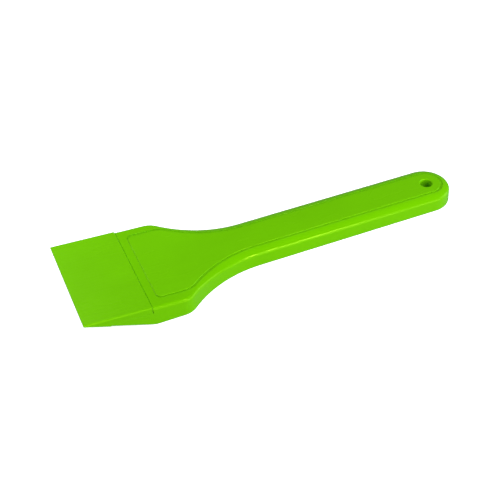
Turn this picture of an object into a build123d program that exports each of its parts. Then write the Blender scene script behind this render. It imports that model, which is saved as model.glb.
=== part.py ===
from build123d import *
import math
import os

# A flat-handled scraper in three pieces: a tray-shaped handle_body, a scraper_blade that
# pushes onto its front ramp, and a top_panel that closes the tray.
# Millimetres. While the pieces are made, X runs from the scraping edge (x = 0) to the
# handle's round end (x = length). The origin then moves to the middle of the length.
# Y is the width, Z is up, and the flat underside lies at z = 0.

# Overall shape
length = 200.0
blade_width = 56.0           # across the blade and the shoulders, a little below their top
width_depth = 1.5            # how far below the scraping edge's top that width is measured
handle_width = 24.6          # across the rounded top edges of the handle
handle_height = 8.75         # middle of the handle's top, without the panel's rise
tip_height = 12.3            # top of the scraping edge
edge_land = 0.8              # blunt front face of the scraping edge
blade_tilt = 3.2             # degrees, the blade's top face rises towards its edge
wall_draft = 4.0             # degrees, the side walls lean out towards the bottom
belly_x = 32.0               # where the bevel under the blade meets the flat underside
belly_radius = 8.0
tail_x = length - handle_width / 2

# Outline from the shoulders to the handle: two tangent arcs on each side
shoulder_x = 46.0
shoulder_radius = 9.0
neck_radius = 59.0

# Top surface and edges of the body
bend_radius = 700.0          # gentle bend between the tilted shoulder and the level handle
band_drop = 1.75             # fall of the rim band from the panel to the handle's edge
band_bulge = 0.32            # rise of the band's middle above a straight slope
band_start_x = 45.0
band_full_x = 86.0
band_station = 5.0           # spacing of the sections that shape the band along the neck
band_station_count = 13
band_overlap = 0.7
band_offset = 0.8            # the band's slope starts this far outside the panel's edge
top_edge_radius = 1.6
bottom_edge_radius = 0.8

# Blade
seam_x = 31.3
blade_step = 0.45            # the blade's back edge stands this far above the shoulder
plate_thickness = 3.2
nose_x = 12.0                # behind this the blade is a plate on the body's ramp
nose_gap = 0.06
seat_gap = 0.05
blade_edge_radius = 0.8
blade_back_radius = 0.7
lip_chamfer = 0.25           # on the body's edge that faces the blade's back edge
bevel_edge_radius = 0.3
scraping_edge_radius = 0.2
prong_length = 10.0
prong_width = 3.2
prong_thickness = 1.6
prong_y = 24.6
prong_gap = 0.08
prong_root = 1.5
groove_count = 29            # fine lengthwise grooves across the blade's top face
groove_pitch = 1.83
groove_width = 0.7
groove_depth = 0.03
groove_inset = 2.5

# Top panel
panel_front_x = 35.4
panel_width = 43.6
panel_tail_width = 14.4
panel_shoulder_x = 48.0
panel_shoulder_radius = 10.0
panel_neck_radius = 56.0
panel_corner_radius = 2.5
panel_thickness = 1.8
panel_proud = 0.12           # the panel's top stands this far above the body's top
panel_gap = 0.1
panel_front_gap = 0.06
panel_edge_radius = 0.25
channel_width = 1.1          # shallow channel in the body beside the panel's sides and round end
channel_depth = 0.35

# Tray under the panel
ledge = 2.2                  # shelf that the panel rests on
floor_thickness = 2.0
rib_thickness = 1.6
rib_spacing = 18.0
first_rib_x = 54.0
rib_count = 7
cells_end_x = 181.0
peg_places = [(46.0, 10.0), (46.0, -10.0), (72.0, 0.0), (108.0, 0.0), (144.0, 0.0), (172.0, 0.0)]
peg_radius = 1.1
peg_length = 3.6
peg_gap = 0.03
peg_end_gap = 0.4
peg_root = 0.5               # how far a peg's root reaches into the panel
boss_radius = 2.6

# Hanging hole, on the centre of the handle's round end
hole_radius = 3.0
hole_rim_radius = 0.6

tilt_slope = math.tan(math.radians(blade_tilt))
draft_slope = math.tan(math.radians(wall_draft))
shoulder_front_height = tip_height - blade_step
bevel_top = tip_height - edge_land
margin = 12.0                # how far the construction solids run past the finished shape
cutter_overhang = 2.0        # the same for cutters that would reach too far with the margin

# Tolerances for picking edges to round
touching = 0.01
nearby = 0.3
rim_offset = 1.0             # an outer rim edge lies within this of the nominal outline
long_edge = 5.0


def outline(half_wide, half_narrow, front_x, start_x, convex, concave, end_x):
    """Closed plan outline: wide front, two tangent arcs a side, narrow tail, round end."""
    turn = math.degrees(math.acos(1 - (half_wide - half_narrow) / (convex + concave)))
    neck_x = start_x + (convex + concave) * math.sin(math.radians(turn))
    round_x = end_x - half_narrow
    with BuildSketch() as sketch:
        with BuildLine():
            Line((front_x, 0), (front_x, -half_wide))
            Line((front_x, -half_wide), (start_x, -half_wide))
            CenterArc((start_x, convex - half_wide), convex, 270, turn)
            CenterArc((neck_x, -half_narrow - concave), concave, 90 + turn, -turn)
            Line((neck_x, -half_narrow), (round_x, -half_narrow))
            CenterArc((round_x, 0), half_narrow, 270, 90)
            mirror(about=Plane.XZ)
        make_face()
    return sketch.sketch


def half_width(x, half_wide, half_narrow, start_x, convex, concave):
    """Half width of the same outline at a distance x from the scraping edge."""
    turn = math.acos(1 - (half_wide - half_narrow) / (convex + concave))
    arcs_meet_x = start_x + convex * math.sin(turn)
    neck_x = start_x + (convex + concave) * math.sin(turn)
    if x <= start_x:
        return half_wide
    if x <= arcs_meet_x:
        return half_wide - convex + math.sqrt(convex**2 - (x - start_x)**2)
    if x <= neck_x:
        return half_narrow + concave - math.sqrt(concave**2 - (neck_x - x)**2)
    return half_narrow


def body_half_width(x):
    return half_width(x, blade_width / 2, handle_width / 2, shoulder_x, shoulder_radius, neck_radius)


def panel_half_width(x):
    return half_width(x, panel_width / 2, panel_tail_width / 2, panel_shoulder_x,
                      panel_shoulder_radius, panel_neck_radius)


def panel_outline(gap, front_gap):
    """The panel's plan outline, grown by a gap at its sides and round end and another in front."""
    return outline(panel_width / 2 + gap, panel_tail_width / 2 + gap, panel_front_x - front_gap,
                   panel_shoulder_x, panel_shoulder_radius + gap, panel_neck_radius - gap,
                   tail_x + panel_tail_width / 2 + gap)


def surface_height(x):
    """Height of the top surface behind the blade at a distance x from the scraping edge."""
    bend_x = (shoulder_front_height - handle_height) / tilt_slope
    run = bend_radius * math.tan(math.radians(blade_tilt) / 2)
    if x <= bend_x - run:
        return shoulder_front_height - x * tilt_slope
    if x >= bend_x + run:
        return handle_height
    return handle_height + bend_radius - math.sqrt(bend_radius**2 - (bend_x + run - x)**2)


def side_prism(points):
    """A side-view polygon of (x, z) points, extruded across the full width."""
    with BuildSketch(Plane.XZ) as sketch:
        with BuildLine():
            Polyline(*points, close=True)
        make_face()
    return extrude(sketch.sketch, blade_width, both=True)


def bent_prism(start, corner, end, radius, far_level):
    """A side-view line from start by a rounded corner to end, filled to far_level."""
    with BuildSketch(Plane.XZ) as sketch:
        with BuildLine():
            FilletPolyline(start, corner, end, radius=radius)
            Polyline(end, (end[0], far_level), (start[0], far_level), start)
        make_face()
    return extrude(sketch.sketch, blade_width, both=True)


def under_top(drop):
    """Everything below the top surface behind the blade, lowered by drop."""
    level = handle_height - drop
    front_level = shoulder_front_height - drop + margin * tilt_slope
    bend_x = (shoulder_front_height - handle_height) / tilt_slope
    return bent_prism((-margin, front_level), (bend_x, level), (length + margin, level), bend_radius, -margin)


def above_underside():
    """Everything above the flat underside and the bevel under the blade."""
    bevel_front = bevel_top + margin * bevel_top / belly_x
    return bent_prism((-margin, bevel_front), (belly_x, 0), (length + margin, 0), belly_radius, 3 * margin)


def under_blade_top():
    """Everything below the blade's flat, tilted top face, from the scraping edge back."""
    back_x = 2 * seam_x
    return side_prism([(0, -margin), (back_x, -margin), (back_x, tip_height - back_x * tilt_slope),
                       (0, tip_height)])


def drafted_outline():
    """The whole outline with leaning side walls, taller than the finished tool."""
    half_wide = blade_width / 2 + (tip_height - width_depth) * draft_slope
    grow = (handle_height - band_drop) * draft_slope
    base = outline(half_wide, handle_width / 2 + grow, -margin, shoulder_x, shoulder_radius + grow,
                   neck_radius - grow, length)
    return extrude(base, tip_height + cutter_overhang, taper=wall_draft)


def band_section(x):
    """Cross-section of what is cut away above the gently rounded rim band on the +Y side."""
    share = min((x - band_start_x) / (band_full_x - band_start_x), 1)
    growth = share * (3 - share * share) / 2
    top = surface_height(x)
    low = top - band_drop * growth
    y_start = panel_half_width(x) + band_offset
    y_rim = body_half_width(x)
    slope = band_drop * growth / (y_rim - y_start)
    turn = 4 * band_bulge * growth / (y_rim - y_start)
    y_in = y_start - band_overlap
    y_out = y_rim + cutter_overhang
    start = Vector(x, y_start, top)
    rim = Vector(x, y_rim, low)
    raised = Vector(x, (y_start + y_rim) / 2, (top + low) / 2 + 2 * band_bulge * growth)
    inside = Vector(x, y_in, top + (slope - turn) * band_overlap)
    outside = Vector(x, y_out, low - (slope + turn) * cutter_overhang)
    above = [Vector(x, y_out, top + margin), Vector(x, y_in, top + margin)]
    corners = [rim, outside, *above, inside, start]
    sides = [Edge.make_line(corners[place], corners[place + 1]) for place in range(len(corners) - 1)]
    return Face(Wire([Edge.make_bezier(start, raised, rim), *sides]))


def rim_band_cutters():
    """Solids that round the rim band down: growing along the neck, level along the handle."""
    first_x = band_start_x - band_station
    stations = [first_x + band_station * step for step in range(band_station_count)]
    level_x = stations[-1]
    side = Solid.make_loft([band_section(x).outer_wire() for x in stations])
    side = side + extrude(band_section(level_x), tail_x - level_x, dir=(1, 0, 0))
    tail = revolve(band_section(tail_x), Axis((tail_x, 0, 0), (0, 0, 1)), -180)
    return [side, mirror(side, Plane.XZ), tail]


def is_top_rim(edge):
    """True for the outer edges between the top and the side walls."""
    middle = edge.position_at(0.5)
    if middle.Z < handle_height / 2 or middle.X < rim_offset or edge.bounding_box().size.Z > long_edge:
        return False
    if middle.X > tail_x:
        return math.hypot(middle.X - tail_x, middle.Y) > handle_width / 2 - rim_offset
    return abs(abs(middle.Y) - body_half_width(middle.X)) < rim_offset / 2


def is_bottom_rim(edge):
    """True for the outer edges around the flat underside and along the bevel."""
    middle = edge.position_at(0.5)
    if middle.X > tail_x:
        return middle.Z < nearby
    bevel = max(bevel_top * (1 - middle.X / belly_x), 0)
    along = edge.bounding_box().size.X > rim_offset
    return along and abs(middle.Y) > handle_width / 2 and middle.Z < bevel + 2 * nearby


def blade_region(gap, lower):
    """The blade's share of the wedge: the bevelled front, and the plate above the ramp."""
    nose = nose_x + gap
    seam = seam_x + gap
    seat = tip_height - plate_thickness - lower
    return side_prism([(-margin, -margin), (nose, -margin), (nose, seat - nose * tilt_slope),
                       (seam, seat - seam * tilt_slope), (seam, 3 * margin), (-margin, 3 * margin)])


def in_blade_frame(shape):
    """Place a shape made with x = 0 at the scraping edge and z = 0 on the blade's top face."""
    return Pos(0, 0, tip_height) * Rot(0, blade_tilt, 0) * shape


def prongs(gap):
    """Two flat tongues behind the blade that slide into the side rails, grown by gap."""
    run = prong_root + prong_length + gap
    prong = Box(run, prong_width + 2 * gap, prong_thickness + 2 * gap)
    middle_x = seam_x - prong_root + run / 2
    middle_z = prong_thickness / 2 - plate_thickness
    return [in_blade_frame(Pos(middle_x, side * prong_y, middle_z) * prong) for side in (-1, 1)]


def grooves():
    """Fine shallow grooves along the blade's top face."""
    radius = (groove_width**2 / 4 + groove_depth**2) / (2 * groove_depth)
    run = seam_x - 2 * groove_inset
    lift = radius - groove_depth
    groove = Pos(groove_inset + run / 2, 0, lift) * Rot(0, 90, 0) * Cylinder(radius, run)
    first_y = -groove_pitch * (groove_count - 1) / 2
    places = [first_y + groove_pitch * place for place in range(groove_count)]
    return [in_blade_frame(Pos(0, y, 0) * groove) for y in places]


def near_blade_top(edge):
    middle = edge.position_at(0.5)
    return abs(middle.Z + middle.X * tilt_slope - tip_height) < nearby and edge.length > long_edge


def near_bevel(edge):
    middle = edge.position_at(0.5)
    return abs(middle.Z - bevel_top * (1 - middle.X / belly_x)) < nearby and edge.length > long_edge


def on_blade_side(edge):
    return abs(edge.position_at(0.5).Y) > blade_width / 2 - rim_offset


def scraper_blade():
    """Wedge-nosed blade with a finely grooved top, a back step and two prongs."""
    blade = drafted_outline() & above_underside() & under_blade_top() & blade_region(0, 0)
    sides = blade.edges().filter_by(on_blade_side)
    blade = fillet(sides.filter_by(near_blade_top), blade_edge_radius)
    back = blade.edges().filter_by(lambda edge: abs(edge.position_at(0.5).X - seam_x) < nearby)
    blade = fillet(back.filter_by(near_blade_top), blade_back_radius)
    sides = blade.edges().filter_by(on_blade_side)
    blade = fillet(sides.filter_by(near_bevel), bevel_edge_radius)
    front = blade.edges().filter_by(lambda edge: edge.bounding_box().max.X < touching)
    blade = fillet(front, scraping_edge_radius)
    return blade + prongs(0) - grooves()


def panel_prism(gap, front_gap):
    """The panel's outline grown by its gaps and made tall, with rounded front corners."""
    prism = extrude(panel_outline(gap, front_gap), 3 * margin)
    front = panel_front_x + nearby
    corners = prism.edges().filter_by(Axis.Z).filter_by(lambda edge: edge.position_at(0.5).X < front)
    return fillet(corners, panel_corner_radius)


def panel_recess():
    """Pocket for the panel, with a small gap all round its edge."""
    return panel_prism(panel_gap, panel_front_gap) - under_top(panel_thickness - panel_proud)


def panel_channel():
    """Shallow channel beside the panel's sides and round end, fading out at its front corners."""
    return panel_prism(panel_gap + channel_width, panel_front_gap) - under_top(channel_depth)


def cells():
    """Hollows between the ribs under the panel."""
    inside = outline(panel_width / 2 - ledge, panel_tail_width / 2 - ledge, panel_front_x + ledge,
                     panel_shoulder_x, panel_shoulder_radius - ledge, panel_neck_radius + ledge, cells_end_x)
    hollow = Pos(0, 0, floor_thickness) * extrude(inside, 3 * margin)
    hollow = hollow & under_top(panel_thickness - panel_proud)
    tall = 6 * margin
    ribs = [Pos(first_rib_x + rib_spacing * place, 0, 0) * Box(rib_thickness, blade_width, tall)
            for place in range(rib_count)]
    middle_rib_end = first_rib_x + rib_spacing
    ribs.append(Pos(middle_rib_end / 2, 0, 0) * Box(middle_rib_end, rib_thickness, tall))
    return hollow - ribs


def upright(x, y, radius, bottom, top):
    """An upright cylinder between two heights."""
    return Pos(x, y, (bottom + top) / 2) * Cylinder(radius, top - bottom)


def shelf_height(x):
    """Height of the shelf and rib tops that the panel rests on."""
    return surface_height(x) + panel_proud - panel_thickness


def front_lip():
    """What the chamfer on the body's front top edge cuts away."""
    front = seam_x + nose_gap
    level = surface_height(front) - lip_chamfer
    back = front + lip_chamfer
    ceiling = level + cutter_overhang
    return side_prism([(seam_x, level), (front, level), (back, surface_height(back)), (back, ceiling),
                       (seam_x, ceiling)])


def handle_body():
    """Tray moulding: ramp for the blade, shelf for the panel, ribbed cells and hanging hole."""
    body = (drafted_outline() & above_underside() & under_top(0)) - rim_band_cutters()
    body = fillet(body.edges().filter_by(is_top_rim), top_edge_radius)
    body = body - blade_region(nose_gap, seat_gap) - front_lip()
    body = fillet(body.edges().filter_by(is_bottom_rim), bottom_edge_radius)
    body = body - panel_channel() - panel_recess() - cells() - prongs(prong_gap)
    for x, y in peg_places:
        body = body + upright(x, y, boss_radius, floor_thickness / 2, shelf_height(x + boss_radius))
    for x, y in peg_places:
        socket_bottom = shelf_height(x) - peg_length - peg_end_gap
        body = body - upright(x, y, peg_radius + peg_gap, socket_bottom, handle_height + margin)
    body = body - upright(tail_x, 0, hole_radius, -margin, margin)
    rim = body.edges().filter_by(lambda edge: is_hole_rim(edge, hole_radius, 0))
    return fillet(rim, hole_rim_radius)


def is_hole_rim(edge, radius, height):
    """True for the hanging hole's circular edge of a given radius at a given height."""
    if edge.geom_type != GeomType.CIRCLE or abs(edge.arc_center.X - tail_x) > touching:
        return False
    return abs(edge.radius - radius) < touching and abs(edge.arc_center.Z - height) < touching


def is_panel_top_rim(edge):
    """True for the edges round the panel's top face, without the line where its bend ends."""
    middle = edge.position_at(0.5)
    if edge.bounding_box().size.X < touching and middle.X > panel_front_x + nearby:
        return False
    return middle.Z > surface_height(middle.X) + panel_proud - nearby


def top_panel():
    """Inlaid cover that follows the bent top, with pegs under it and the hanging hole."""
    panel = panel_prism(0, 0) & under_top(-panel_proud)
    panel = panel - under_top(panel_thickness - panel_proud)
    panel = fillet(panel.edges().filter_by(is_panel_top_rim), panel_edge_radius)
    panel = panel - upright(tail_x, 0, hole_radius, -margin, margin)
    top = handle_height + panel_proud
    rim = panel.edges().filter_by(lambda edge: is_hole_rim(edge, hole_radius, top))
    panel = fillet(rim, hole_rim_radius)
    for x, y in peg_places:
        panel = panel + upright(x, y, peg_radius, shelf_height(x) - peg_length, surface_height(x) - peg_root)
    return panel


def save(pieces):
    """Put the origin at the middle of the length, on the underside, and write one STEP each."""
    os.makedirs("parts", exist_ok=True)
    ends = [piece.bounding_box() for piece in pieces.values()]
    middle_x = (min(box.min.X for box in ends) + max(box.max.X for box in ends)) / 2
    for name, piece in pieces.items():
        export_step(Pos(-middle_x, 0, 0) * piece, f"parts/{name}.step")
    print("origin is", round(middle_x, 3), "mm behind the scraping edge")


save({"handle_body": handle_body(), "scraper_blade": scraper_blade(), "top_panel": top_panel()})
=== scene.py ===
import math

import bpy
from mathutils import Matrix, Vector


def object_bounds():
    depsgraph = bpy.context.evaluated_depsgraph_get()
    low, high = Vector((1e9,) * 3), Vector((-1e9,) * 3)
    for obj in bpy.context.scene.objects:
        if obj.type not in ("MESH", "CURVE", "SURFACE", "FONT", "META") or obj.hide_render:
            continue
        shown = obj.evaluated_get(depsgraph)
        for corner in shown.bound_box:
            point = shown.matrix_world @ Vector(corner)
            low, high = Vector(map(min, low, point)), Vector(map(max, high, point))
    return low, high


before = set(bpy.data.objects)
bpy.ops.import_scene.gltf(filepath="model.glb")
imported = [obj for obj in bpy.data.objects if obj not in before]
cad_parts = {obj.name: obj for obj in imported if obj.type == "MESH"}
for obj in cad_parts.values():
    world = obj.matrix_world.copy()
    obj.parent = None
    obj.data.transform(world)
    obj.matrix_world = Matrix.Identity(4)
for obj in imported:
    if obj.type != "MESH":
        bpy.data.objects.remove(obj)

# The scraper lies on a pale floor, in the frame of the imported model: metres, +X from the
# scraping edge to the hanging hole, +Z up. The three CAD nodes are shown as they are and get
# moulded-plastic materials here.

MM = 0.001
WHITE = (1, 1, 1, 1)
cad_low, cad_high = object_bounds()


# ---------------------------------------------------------------- node helpers

# Sockets of a Mix node that mixes colours
MIX_FACTOR, MIX_FIRST, MIX_SECOND, MIX_RESULT = 0, 6, 7, 2


def link(tree, source, target, output=0, entry=0):
    """Joins an output of one node to an input of another, each by name or number."""
    tree.links.new(source.outputs[output], target.inputs[entry])


def scaled_noise(tree, coordinates, feature, stretch=(1, 1, 1), detail=3.0):
    """Noise whose features are about the given size in metres, stretched along the axes."""
    mapping = tree.nodes.new("ShaderNodeMapping")
    mapping.inputs["Scale"].default_value = [1 / (feature * part) for part in stretch]
    link(tree, coordinates, mapping, "Object", "Vector")
    noise = tree.nodes.new("ShaderNodeTexNoise")
    noise.inputs["Scale"].default_value = 1.0
    noise.inputs["Detail"].default_value = detail
    noise.inputs["Roughness"].default_value = 0.55
    link(tree, mapping, noise, "Vector", "Vector")
    return noise


def remap(tree, source, output, old, new):
    """Maps an old range of a node's output to a new one, clamped."""
    node = tree.nodes.new("ShaderNodeMapRange")
    node.inputs["From Min"].default_value, node.inputs["From Max"].default_value = old
    node.inputs["To Min"].default_value, node.inputs["To Max"].default_value = new
    link(tree, source, node, output, "Value")
    return node


def mix_colours(tree, factor, first, second):
    """Mixes two colours by a node's first output; each colour is a tuple or another mix."""
    node = tree.nodes.new("ShaderNodeMix")
    node.data_type = "RGBA"
    link(tree, factor, node, 0, MIX_FACTOR)
    for socket, colour in ((MIX_FIRST, first), (MIX_SECOND, second)):
        if isinstance(colour, tuple):
            node.inputs[socket].default_value = (*colour, 1)
        else:
            link(tree, colour, node, MIX_RESULT, socket)
    return node


def bump(tree, height, strength, depth, below=None):
    """Raises the surface by a noise, over another bump if one is given."""
    node = tree.nodes.new("ShaderNodeBump")
    node.inputs["Strength"].default_value = strength
    node.inputs["Distance"].default_value = depth
    link(tree, height, node, "Fac", "Height")
    if below:
        link(tree, below, node, "Normal", "Normal")
    return node


# ---------------------------------------------------------------- plastic

LIME = (0.134, 0.472, 0.0002)
GLOSS_TINT = (0.80, 1.0, 0.06, 1)          # keeps the gloss from whitening so saturated a colour
PLASTIC_IOR = 1.37

CLOUD_SIZE, CLOUD_STRETCH = 35 * MM, (1.6, 1, 1)
CLOUD_DARK, CLOUD_LIGHT = 0.955, 1.04      # the pigment's two ends, as parts of the colour
STREAK_SIZE, STREAK_STRETCH = 3.5 * MM, (14, 1, 1)
STREAK_MIX = 0.25                          # the most that a flow streak lightens
RUBBED_GAIN, RUBBED_LIFT = 1.10, 0.006     # a rubbed edge is the colour times one plus the other
RUBBED_POLISH = 0.06                       # how much less rough a rubbed edge is
EDGE_START, EDGE_FULL = 0.999, 0.93        # cosine between the true and the rounded normal
BEVEL_SAMPLES = 6
PATCH_SIZE = 4 * MM                        # patches of wear along an edge
SMEAR_SIZE, SMEAR_STRETCH = 12 * MM, (3, 1, 1)
SMEAR_SPREAD = 0.02                        # how far the gloss wanders either way
GRAIN_SIZE, GRAIN_DEPTH = 0.22 * MM, 0.01 * MM
RIPPLE_SIZE, RIPPLE_STRETCH, RIPPLE_DEPTH = 9 * MM, (2, 1, 1), 0.03 * MM
RIPPLE_STRENGTH = 0.35


def pigment(tree, coordinates, colour):
    """Cloudy pigment with lighter flow streaks along the part."""
    dark = tuple(part * CLOUD_DARK for part in colour)
    light = tuple(part * CLOUD_LIGHT for part in colour)
    clouds = scaled_noise(tree, coordinates, CLOUD_SIZE, CLOUD_STRETCH)
    cloudy = remap(tree, clouds, "Fac", old=(0.35, 0.65), new=(0, 1))
    base = mix_colours(tree, cloudy, dark, light)
    streaks = scaled_noise(tree, coordinates, STREAK_SIZE, STREAK_STRETCH, detail=2.0)
    streaky = remap(tree, streaks, "Fac", old=(0.55, 0.8), new=(0, STREAK_MIX))
    return mix_colours(tree, streaky, base, light)


def edge_wear(tree, coordinates, edge_radius):
    """Patchy wear, 0 to 1, on edges: where the rounded normal leaves the true one."""
    rounded = tree.nodes.new("ShaderNodeBevel")
    rounded.samples = BEVEL_SAMPLES
    rounded.inputs["Radius"].default_value = edge_radius
    geometry = tree.nodes.new("ShaderNodeNewGeometry")
    agreement = tree.nodes.new("ShaderNodeVectorMath")
    agreement.operation = "DOT_PRODUCT"
    link(tree, rounded, agreement, "Normal", 0)
    link(tree, geometry, agreement, "Normal", 1)
    edge = remap(tree, agreement, "Value", old=(EDGE_START, EDGE_FULL), new=(0, 1))
    patches = scaled_noise(tree, coordinates, PATCH_SIZE, detail=4.0)
    patchy = remap(tree, patches, "Fac", old=(0.38, 0.66), new=(0.25, 1))
    wear = tree.nodes.new("ShaderNodeMath")
    wear.operation = "MULTIPLY"
    link(tree, edge, wear, "Result", 0)
    link(tree, patchy, wear, "Result", 1)
    return wear


def gloss_smears(tree, coordinates, wear, gloss):
    """Roughness that wanders in long smears and drops where the edges are rubbed."""
    smears = scaled_noise(tree, coordinates, SMEAR_SIZE, SMEAR_STRETCH, detail=2.0)
    smeared = remap(tree, smears, "Fac", old=(0.2, 0.8), new=(gloss - SMEAR_SPREAD, gloss + SMEAR_SPREAD))
    polished = tree.nodes.new("ShaderNodeMath")
    polished.operation = "MULTIPLY_ADD"
    polished.inputs[1].default_value = -RUBBED_POLISH
    link(tree, wear, polished, 0, 0)
    link(tree, smeared, polished, "Result", 2)
    return polished


def lime_plastic(name, gloss, grain, edge_radius):
    """Injection-moulded lime plastic. Gloss is its mean roughness, grain the strength of its texture."""
    material = bpy.data.materials.new(name)
    material.use_nodes = True
    tree = material.node_tree
    shader = tree.nodes["Principled BSDF"]
    coordinates = tree.nodes.new("ShaderNodeTexCoord")

    base = pigment(tree, coordinates, LIME)
    wear = edge_wear(tree, coordinates, edge_radius)
    rubbed = tuple(min(part * RUBBED_GAIN + RUBBED_LIFT, 1) for part in LIME)
    base = mix_colours(tree, wear, base, rubbed)
    link(tree, base, shader, MIX_RESULT, "Base Color")
    link(tree, gloss_smears(tree, coordinates, wear, gloss), shader, 0, "Roughness")

    fine = scaled_noise(tree, coordinates, GRAIN_SIZE, detail=2.0)
    grained = bump(tree, fine, grain, GRAIN_DEPTH)
    ripple = scaled_noise(tree, coordinates, RIPPLE_SIZE, RIPPLE_STRETCH, detail=1.0)
    rippled = bump(tree, ripple, RIPPLE_STRENGTH, RIPPLE_DEPTH, below=grained)
    link(tree, rippled, shader, "Normal", "Normal")

    shader.inputs["IOR"].default_value = PLASTIC_IOR
    shader.inputs["Specular Tint"].default_value = GLOSS_TINT
    return material


def dress(node, material):
    """Gives every slot of a CAD node the same finished material."""
    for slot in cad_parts[node].material_slots:
        slot.material = material


dress("handle_body", lime_plastic("lime_body", gloss=0.18, grain=0.35, edge_radius=0.7 * MM))
dress("scraper_blade", lime_plastic("lime_blade", gloss=0.28, grain=0.30, edge_radius=0.4 * MM))
dress("top_panel", lime_plastic("lime_panel", gloss=0.27, grain=0.40, edge_radius=0.5 * MM))


# ---------------------------------------------------------------- studio

FLOOR_TONE, FLOOR_BRIGHT = 0.95, 0.80      # the floor's colour and glow as seen directly
FLOOR_BOUNCE, FLOOR_GLOW = 0.20, 0.12      # the same in the light that it throws on the part
SURROUND = 0.115                           # strength of the world's light on the part

SENSOR_WIDTH, LENS = 36, 68.3352           # millimetres
AIM_FROM_EDGE = 89.808 * MM                # the camera's aim point, behind the scraping edge
AIM_OFF_CENTRE = -0.456 * MM


def pale_floor(half_size, drop):
    """A wide matt floor just under the part: white from above, clear from below, faintly glowing."""
    mesh = bpy.data.meshes.new("floor")
    corners = [(-half_size, -half_size, -drop), (half_size, -half_size, -drop),
               (half_size, half_size, -drop), (-half_size, half_size, -drop)]
    mesh.from_pydata(corners, [], [(0, 1, 2, 3)])
    floor = bpy.data.objects.new("floor", mesh)
    bpy.context.collection.objects.link(floor)
    material = bpy.data.materials.new("floor_white")
    material.use_nodes = True
    tree = material.node_tree
    white = tree.nodes["Principled BSDF"]
    white.inputs["Roughness"].default_value = 0.9
    white.inputs["Specular IOR Level"].default_value = 0.1
    rays = tree.nodes.new("ShaderNodeLightPath")
    tone = remap(tree, rays, "Is Camera Ray", old=(0, 1), new=(FLOOR_BOUNCE, FLOOR_TONE))
    link(tree, tone, white, "Result", "Base Color")
    glow = remap(tree, rays, "Is Camera Ray", old=(0, 1), new=(FLOOR_GLOW, FLOOR_BRIGHT))
    white.inputs["Emission Color"].default_value = WHITE
    link(tree, glow, white, "Result", "Emission Strength")
    clear = tree.nodes.new("ShaderNodeBsdfTransparent")
    side = tree.nodes.new("ShaderNodeNewGeometry")
    mix = tree.nodes.new("ShaderNodeMixShader")
    link(tree, side, mix, "Backfacing", 0)
    link(tree, white, mix, 0, 1)
    link(tree, clear, mix, 0, 2)
    link(tree, mix, tree.nodes["Material Output"], 0, "Surface")
    mesh.materials.append(material)


def soft_light(name, place, aim, width, height, watts):
    """A rectangular softbox facing a point."""
    data = bpy.data.lights.new(name, "AREA")
    data.shape = "RECTANGLE"
    data.size = width
    data.size_y = height
    data.energy = watts
    lamp = bpy.data.objects.new(name, data)
    lamp.location = place
    lamp.rotation_mode = "QUATERNION"
    lamp.rotation_quaternion = (Vector(aim) - Vector(place)).to_track_quat("-Z", "Y")
    bpy.context.collection.objects.link(lamp)


def white_world(strength):
    """A dim even surround that looks white where it is seen past the floor's edge."""
    world = bpy.data.worlds.new("studio")
    world.use_nodes = True
    tree = world.node_tree
    sky = tree.nodes["Background"]
    sky.inputs["Color"].default_value = WHITE
    rays = tree.nodes.new("ShaderNodeLightPath")
    level = remap(tree, rays, "Is Camera Ray", old=(0, 1), new=(strength, 1))
    link(tree, level, sky, "Result", "Strength")
    bpy.context.scene.world = world


def camera(azimuth, elevation, roll, distance, aim):
    """A camera at angles round the aim point. Azimuth 0 looks along +Y."""
    turn, rise = math.radians(azimuth), math.radians(elevation)
    back = Vector((math.sin(turn) * math.cos(rise), -math.cos(turn) * math.cos(rise), math.sin(rise)))
    right = Vector((math.cos(turn), math.sin(turn), 0))
    up = back.cross(right)
    tilt = math.radians(roll)
    across = right * math.cos(tilt) + up * math.sin(tilt)
    upward = up * math.cos(tilt) - right * math.sin(tilt)
    data = bpy.data.cameras.new("camera")
    data.sensor_width = SENSOR_WIDTH
    data.lens = LENS
    data.clip_start = 0.01
    data.clip_end = 50
    view = bpy.data.objects.new("camera", data)
    turned = Matrix((across, upward, back)).transposed().to_4x4()
    view.matrix_world = Matrix.Translation(Vector(aim) + back * distance) @ turned
    bpy.context.collection.objects.link(view)
    bpy.context.scene.camera = view


pale_floor(half_size=6.0, drop=0.3 * MM)
white_world(SURROUND)
soft_light("key", place=(0.34, -0.60, 0.62), aim=(0.02, 0, 0), width=0.05, height=0.24, watts=3.4)
soft_light("blade_key", place=(0.09, -0.64, 0.65), aim=(-0.07, 0, 0), width=0.16, height=0.16, watts=1.1)
soft_light("low_right", place=(0.45, -0.85, 0.16), aim=(0, 0, 0), width=0.5, height=0.25, watts=2.7)
soft_light("low_left", place=(-0.10, -0.85, 0.25), aim=(0, 0, 0), width=0.5, height=0.25, watts=2.7)
soft_light("right", place=(0.70, -0.25, 0.30), aim=(0, 0, 0), width=0.5, height=0.4, watts=2.2)
soft_light("high_back", place=(-0.20, 0.20, 0.34), aim=(-0.06, 0, 0), width=0.35, height=0.35, watts=1.36)
camera(azimuth=-23.06, elevation=42.52, roll=-0.859, distance=0.4593,
       aim=(cad_low.x + AIM_FROM_EDGE, AIM_OFF_CENTRE, 0))
bpy.context.scene.view_settings.view_transform = "Standard"
